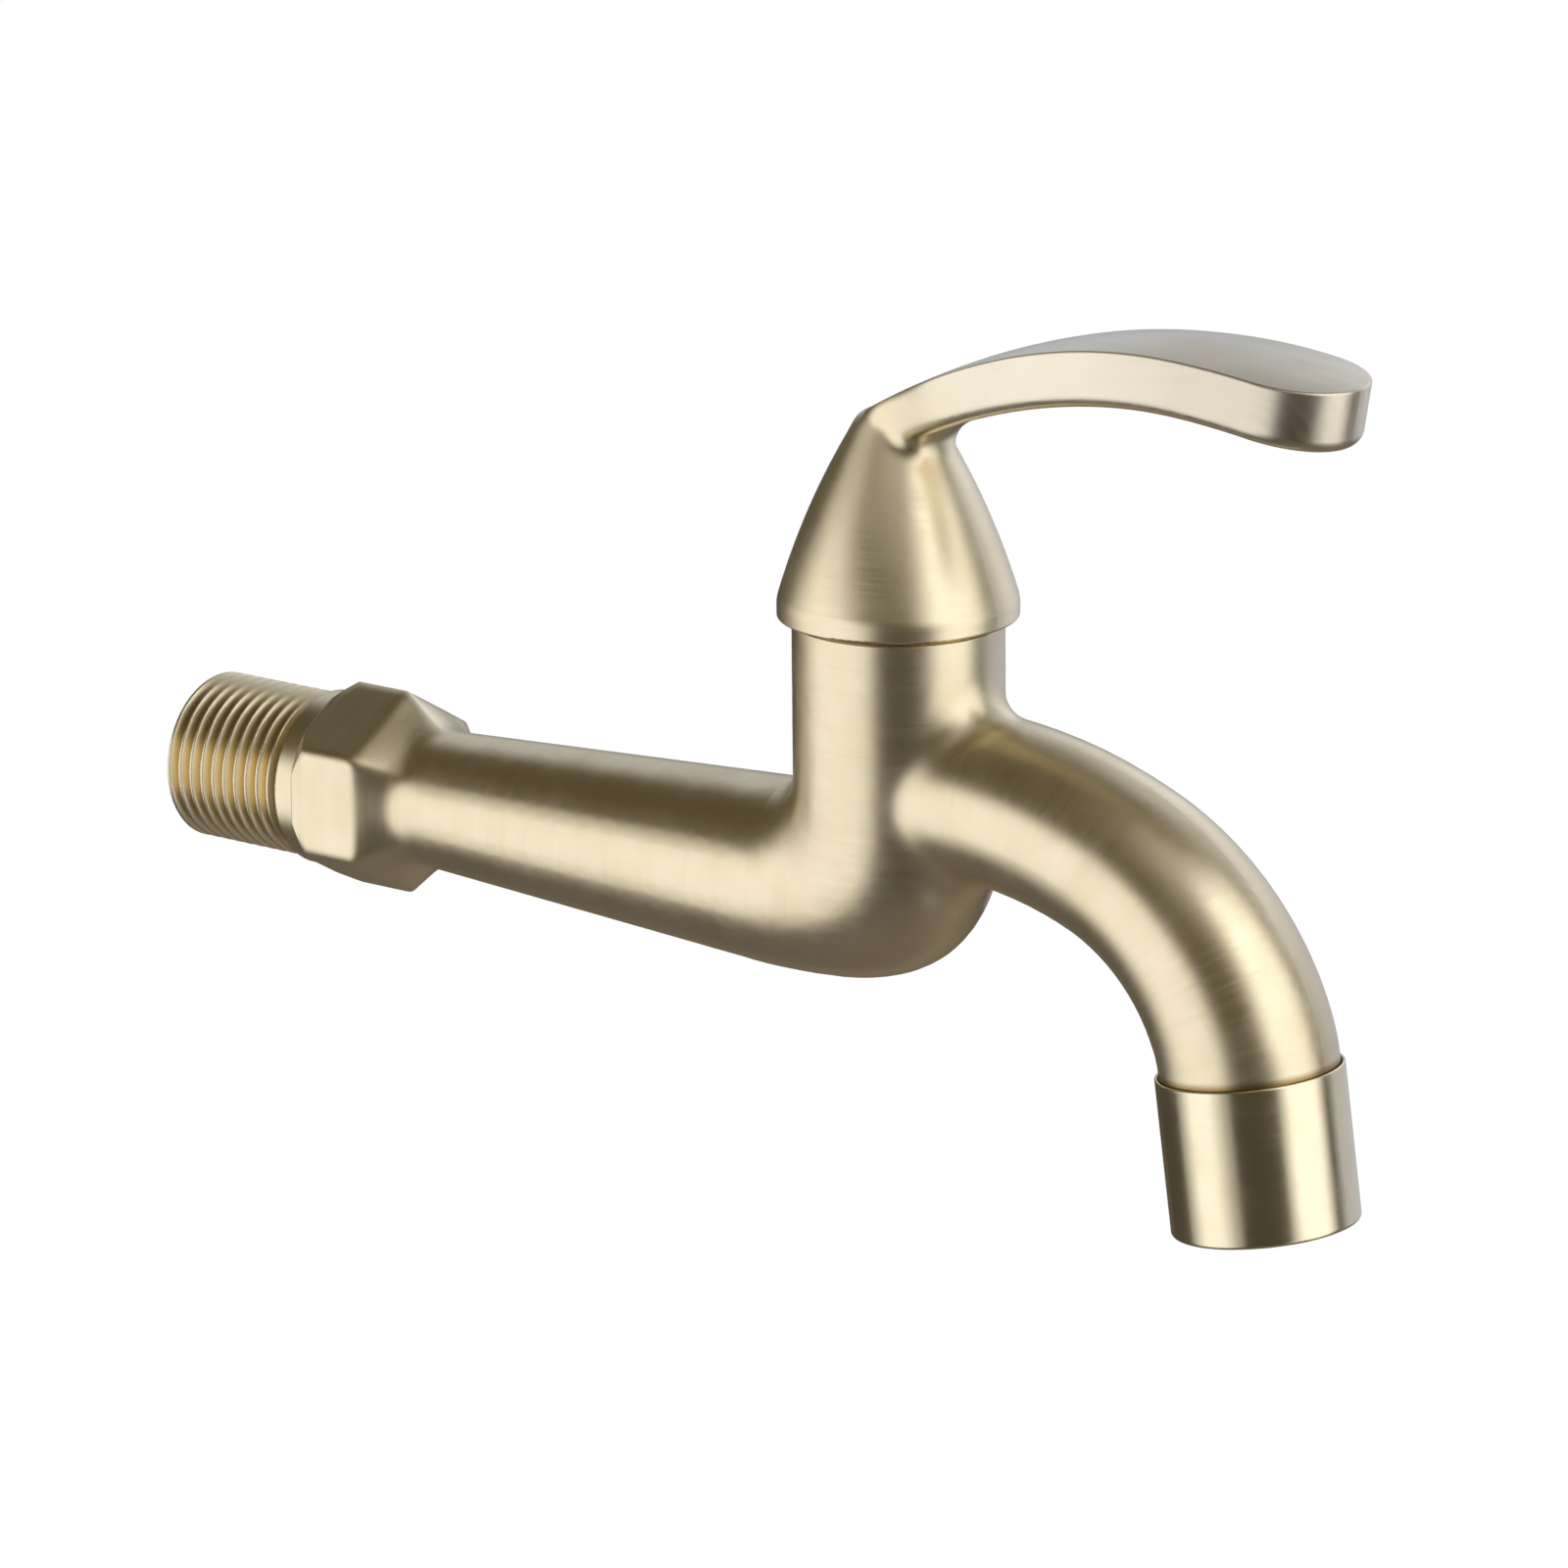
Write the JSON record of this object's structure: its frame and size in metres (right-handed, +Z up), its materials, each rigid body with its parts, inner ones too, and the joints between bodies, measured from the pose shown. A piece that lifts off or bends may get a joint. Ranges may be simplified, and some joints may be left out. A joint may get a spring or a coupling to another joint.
{
  "type": "wall-mounted cold water tap",
  "caption": "Wall-mounted cold water tap with a long inlet arm, a lever handle above an upright barrel, and a downturned spout with an aerator.",
  "frame": {"origin": "on the inlet axis, at the shoulder where the inlet thread ends and the collar begins", "axes": "+X out of the wall along the inlet arm, +Z up, -X along the inlet thread into the wall"},
  "size_m": [0.172, 0.0286, 0.1049],
  "materials": {
    "satin_gold_body": "brushed satin champagne gold plating",
    "satin_gold_handle": "brushed satin champagne gold plating",
    "polished_gold": "fine polished champagne gold plating",
    "raw_brass": "machined, unplated",
    "turned_brass": "turned, unplated",
    "stainless_screw": "machined",
    "bronze_clip": "sprung sheet",
    "black_rubber": "moulded",
    "seal_rubber": "moulded",
    "acetal_washer": "plain",
    "white_ceramic": "lapped",
    "white_plastic": "moulded",
    "grey_plastic": "moulded",
    "wire_mesh": "woven"
  },
  "bodies": {
    "body": {"tap_body": "satin_gold_body", "valve_bonnet": "raw_brass", "spindle_thrust_washer": "acetal_washer", "lower_ceramic_disc": "white_ceramic", "seat_seal": "seal_rubber", "bonnet_o_ring": "black_rubber", "aerator_shell": "polished_gold", "aerator_gasket": "seal_rubber", "aerator_housing": "white_plastic", "aerator_strainer": "grey_plastic", "aerator_flow_disc": "white_plastic", "aerator_inner_screen": "wire_mesh", "aerator_outer_screen": "wire_mesh", "aerator_outlet_grid": "grey_plastic"},
    "handle": {"handle": "satin_gold_handle", "handle_grub_screw": "stainless_screw", "valve_spindle": "turned_brass", "lower_spindle_o_ring": "black_rubber", "upper_spindle_o_ring": "black_rubber", "spindle_retaining_clip": "bronze_clip", "upper_ceramic_disc": "white_ceramic"}
  },
  "joints": [
    {"name": "handle_turn", "type": "hinge", "parent": "body", "child": "handle", "pos_m": [0.0886, 0, 0.0336], "axis": [0, 0, 1], "range_deg": [0, 90]}
  ]
}
